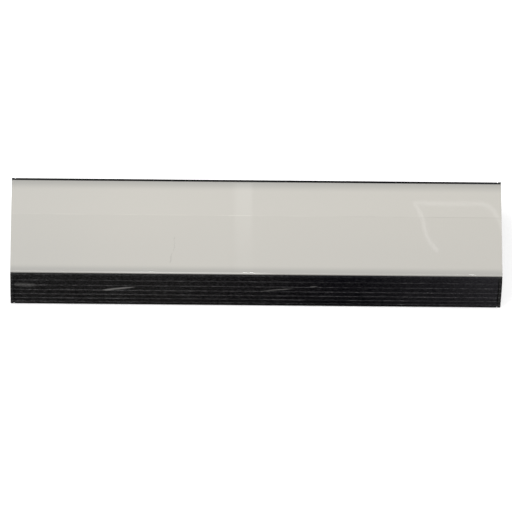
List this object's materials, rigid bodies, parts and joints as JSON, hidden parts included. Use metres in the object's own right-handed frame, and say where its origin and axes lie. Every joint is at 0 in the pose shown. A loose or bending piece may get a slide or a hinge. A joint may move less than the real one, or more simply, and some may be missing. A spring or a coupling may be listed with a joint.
{
  "type": "led strip batten",
  "caption": "Half-metre stage LED batten lying on its back: ribbed black aluminium body, glossy opal face, service panel on the far side, sliding fold-out hangers.",
  "frame": {"origin": "centre of the flat back, midway along the batten", "axes": "+X along the batten, +Y across it towards the service panel, +Z out of the opal face"},
  "size_m": [0.5, 0.1212, 0.06],
  "materials": {
    "black_anodised": "satin black anodising",
    "black_coated": "fine satin powder coat",
    "opal": "glossy opal acrylic",
    "seal_rubber": "soft matt",
    "plain_aluminium": "mill finish",
    "board_white": "white solder mask",
    "led_phosphor": "yellow phosphor in a white frame",
    "reflector_white": "smooth white sheet",
    "black_steel": "black oxide",
    "bright_steel": "zinc plated",
    "supply_sheet": "galvanised sheet",
    "circuit_green": "green solder mask",
    "window_glass": "smoked clear window",
    "display_dark": "unlit display",
    "button_grey": "moulded matt",
    "inlet_plastic": "moulded slate blue",
    "outlet_plastic": "moulded grey",
    "contact_brass": "machined",
    "black_plastic": "moulded fine texture",
    "cable_black": "smooth sheath"
  },
  "bodies": {
    "batten": {"housing": "black_anodised", "end_cap_left": "black_coated", "end_cap_right": "black_coated", "end_gasket_left": "seal_rubber", "end_gasket_right": "seal_rubber", "end_cap_screws_left": "black_steel", "end_cap_screws_right": "black_steel", "diffuser": "opal", "diffuser_end_left": "opal", "diffuser_end_right": "opal", "diffuser_seals": "seal_rubber", "led_tray": "plain_aluminium", "led_board_near": "board_white", "led_board_middle": "board_white", "led_board_far": "board_white", "leds_near": "led_phosphor", "leds_middle": "led_phosphor", "leds_far": "led_phosphor", "board_screws": "bright_steel", "board_jumpers": "board_white", "reflector_near": "reflector_white", "reflector_far": "reflector_white", "power_supply_case": "supply_sheet", "power_supply_lid": "supply_sheet", "power_supply_circuit": "circuit_green", "service_panel": "black_coated", "display_window": "window_glass", "panel_screws": "black_steel", "vent_plug": "black_plastic", "control_board": "circuit_green", "display_module": "display_dark", "board_posts": "contact_brass", "power_inlet": "inlet_plastic", "power_outlet": "outlet_plastic", "power_contacts": "contact_brass", "data_input": "black_coated", "data_input_pins": "contact_brass", "data_output": "black_coated", "data_output_insert": "black_plastic", "socket_screws": "black_steel", "mains_lead": "cable_black", "led_lead": "cable_black", "data_lead": "cable_black", "mounting_inserts": "bright_steel"},
    "carriage_left": {"hanger_saddle_left": "black_coated", "hanger_nut_left": "bright_steel", "hanger_pin_left": "bright_steel"},
    "bail_left": {"hanger_bail_left": "black_steel"},
    "knob_left": {"hanger_knob_left": "black_plastic"},
    "carriage_right": {"hanger_saddle_right": "black_coated", "hanger_nut_right": "bright_steel", "hanger_pin_right": "bright_steel"},
    "bail_right": {"hanger_bail_right": "black_steel"},
    "knob_right": {"hanger_knob_right": "black_plastic"},
    "button_1": {"menu_button_1": "button_grey"},
    "button_2": {"menu_button_2": "button_grey"},
    "button_3": {"menu_button_3": "button_grey"},
    "button_4": {"menu_button_4": "button_grey"},
    "latch": {"data_output_latch": "bright_steel"}
  },
  "joints": [
    {"name": "carriage_left_slide", "type": "slide", "parent": "batten", "child": "carriage_left", "axis": [1, 0, 0], "range_m": [-0.085, 0.07]},
    {"name": "bail_left_hinge", "type": "hinge", "parent": "carriage_left", "child": "bail_left", "pos_m": [-0.145, 0, 0.0052], "axis": [0, 1, 0], "range_deg": [0, 110]},
    {"name": "knob_left_turn", "type": "hinge", "parent": "carriage_left", "child": "knob_left", "pos_m": [-0.12, 0, 0.005], "axis": [0, 0, -1], "range_deg": [0, 360]},
    {"name": "carriage_right_slide", "type": "slide", "parent": "batten", "child": "carriage_right", "axis": [1, 0, 0], "range_m": [-0.07, 0.085]},
    {"name": "bail_right_hinge", "type": "hinge", "parent": "carriage_right", "child": "bail_right", "pos_m": [0.145, 0, 0.0052], "axis": [0, -1, 0], "range_deg": [0, 110]},
    {"name": "knob_right_turn", "type": "hinge", "parent": "carriage_right", "child": "knob_right", "pos_m": [0.12, 0, 0.005], "axis": [0, 0, -1], "range_deg": [0, 360]},
    {"name": "button_1_press", "type": "slide", "parent": "batten", "child": "button_1", "axis": [0, -1, 0], "range_m": [0, 0.0008], "stiffness_N_per_m": 500, "springref_m": -0.001},
    {"name": "button_2_press", "type": "slide", "parent": "batten", "child": "button_2", "axis": [0, -1, 0], "range_m": [0, 0.0008], "stiffness_N_per_m": 500, "springref_m": -0.001},
    {"name": "button_3_press", "type": "slide", "parent": "batten", "child": "button_3", "axis": [0, -1, 0], "range_m": [0, 0.0008], "stiffness_N_per_m": 500, "springref_m": -0.001},
    {"name": "button_4_press", "type": "slide", "parent": "batten", "child": "button_4", "axis": [0, -1, 0], "range_m": [0, 0.0008], "stiffness_N_per_m": 500, "springref_m": -0.001},
    {"name": "latch_press", "type": "slide", "parent": "batten", "child": "latch", "axis": [0, -1, 0], "range_m": [0, 0.001], "stiffness_N_per_m": 500, "springref_m": -0.001}
  ]
}
